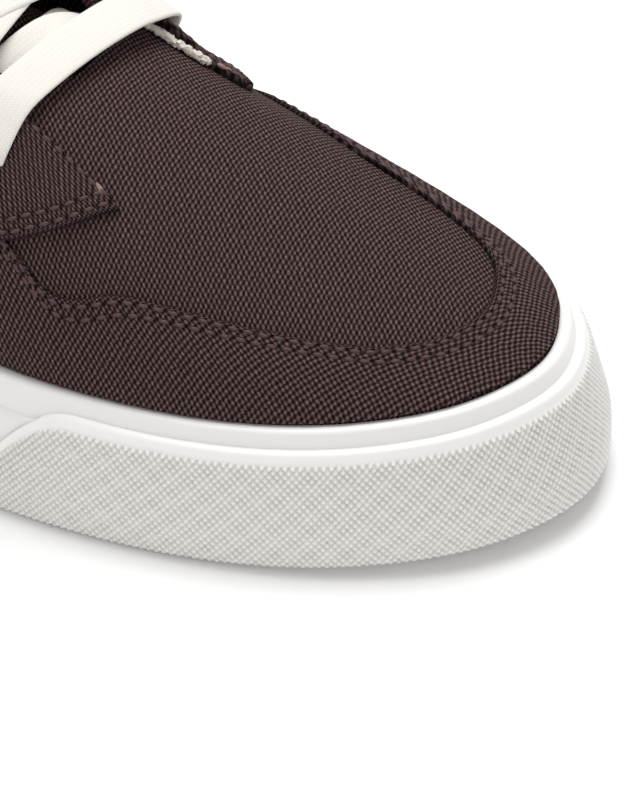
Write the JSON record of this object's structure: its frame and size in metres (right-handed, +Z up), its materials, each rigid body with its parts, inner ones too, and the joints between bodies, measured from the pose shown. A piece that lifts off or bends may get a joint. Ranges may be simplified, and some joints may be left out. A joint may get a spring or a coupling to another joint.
{
  "type": "low canvas skateboarding shoe",
  "caption": "Low lace-up canvas shoe with a stepped rubber sole, a raised toe bumper, a toe overlay, lace panels, a tongue and flat laces; right foot, empty, standing.",
  "frame": {"origin": "on the floor under the middle of the shoe", "axes": "+X from heel to toe, +Y to the inner (big toe) side of a right foot, +Z up"},
  "size_m": [0.298, 0.1124, 0.1201],
  "materials": {
    "tread_rubber": "matt moulded rubber",
    "midsole_foam": "matt foam rubber",
    "white_rubber": "smooth off-white rubber tape",
    "bumper_rubber": "off-white rubber with small raised diamonds",
    "footbed_cloth": "dark brown knitted cloth",
    "canvas": "plain woven dark brown cotton canvas",
    "overlay_canvas": "plain woven dark brown cotton canvas with stitched edges",
    "lace_cotton": "flat woven warm white cotton"
  },
  "bodies": {
    "root": {"outsole": "tread_rubber", "midsole": "midsole_foam", "foxing": "white_rubber", "toe_bumper": "bumper_rubber", "insole": "footbed_cloth", "upper": "canvas", "mudguard": "overlay_canvas", "heel_counter": "overlay_canvas", "lace_panel_lateral": "overlay_canvas", "lace_panel_medial": "overlay_canvas", "tongue": "canvas", "lace_bar": "lace_cotton", "lace_crossing_1": "lace_cotton", "lace_crossing_2": "lace_cotton", "lace_crossing_3": "lace_cotton", "lace_crossing_4": "lace_cotton", "lace_crossing_5": "lace_cotton"}
  },
  "joints": []
}
